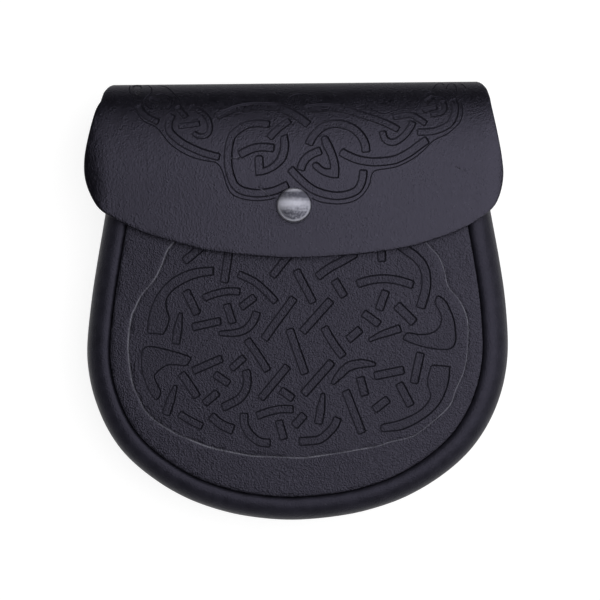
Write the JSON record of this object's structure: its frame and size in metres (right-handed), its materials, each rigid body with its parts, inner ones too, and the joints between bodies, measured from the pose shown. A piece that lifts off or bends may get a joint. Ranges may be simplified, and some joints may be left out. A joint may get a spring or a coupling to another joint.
{
  "type": "sporran pouch",
  "caption": "Rounded black leather sporran pouch with an embossed front panel, rolled gusset, fold-over flap and domed press stud.",
  "frame": {"origin": "on the surface that the pouch lies on, under the middle of its outline", "axes": "+Z out of the front panel, +Y towards the fold at the top, +X to the right seen from the front"},
  "size_m": [0.1854, 0.1922, 0.0422],
  "materials": {
    "flap_leather": "black hide with a soft sheen and a fine grain",
    "panel_leather": "black embossed hide with a satin surface",
    "gusset_leather": "thin soft black hide, smooth",
    "loop_leather": "plain black strap leather",
    "pewter": "dull antique nickel"
  },
  "bodies": {
    "root": {"back_and_flap": "flap_leather", "front_panel": "panel_leather", "gusset": "gusset_leather", "snap_cap": "pewter", "snap_stud": "pewter", "hanger_loop_left": "loop_leather", "hanger_loop_right": "loop_leather"}
  },
  "joints": []
}
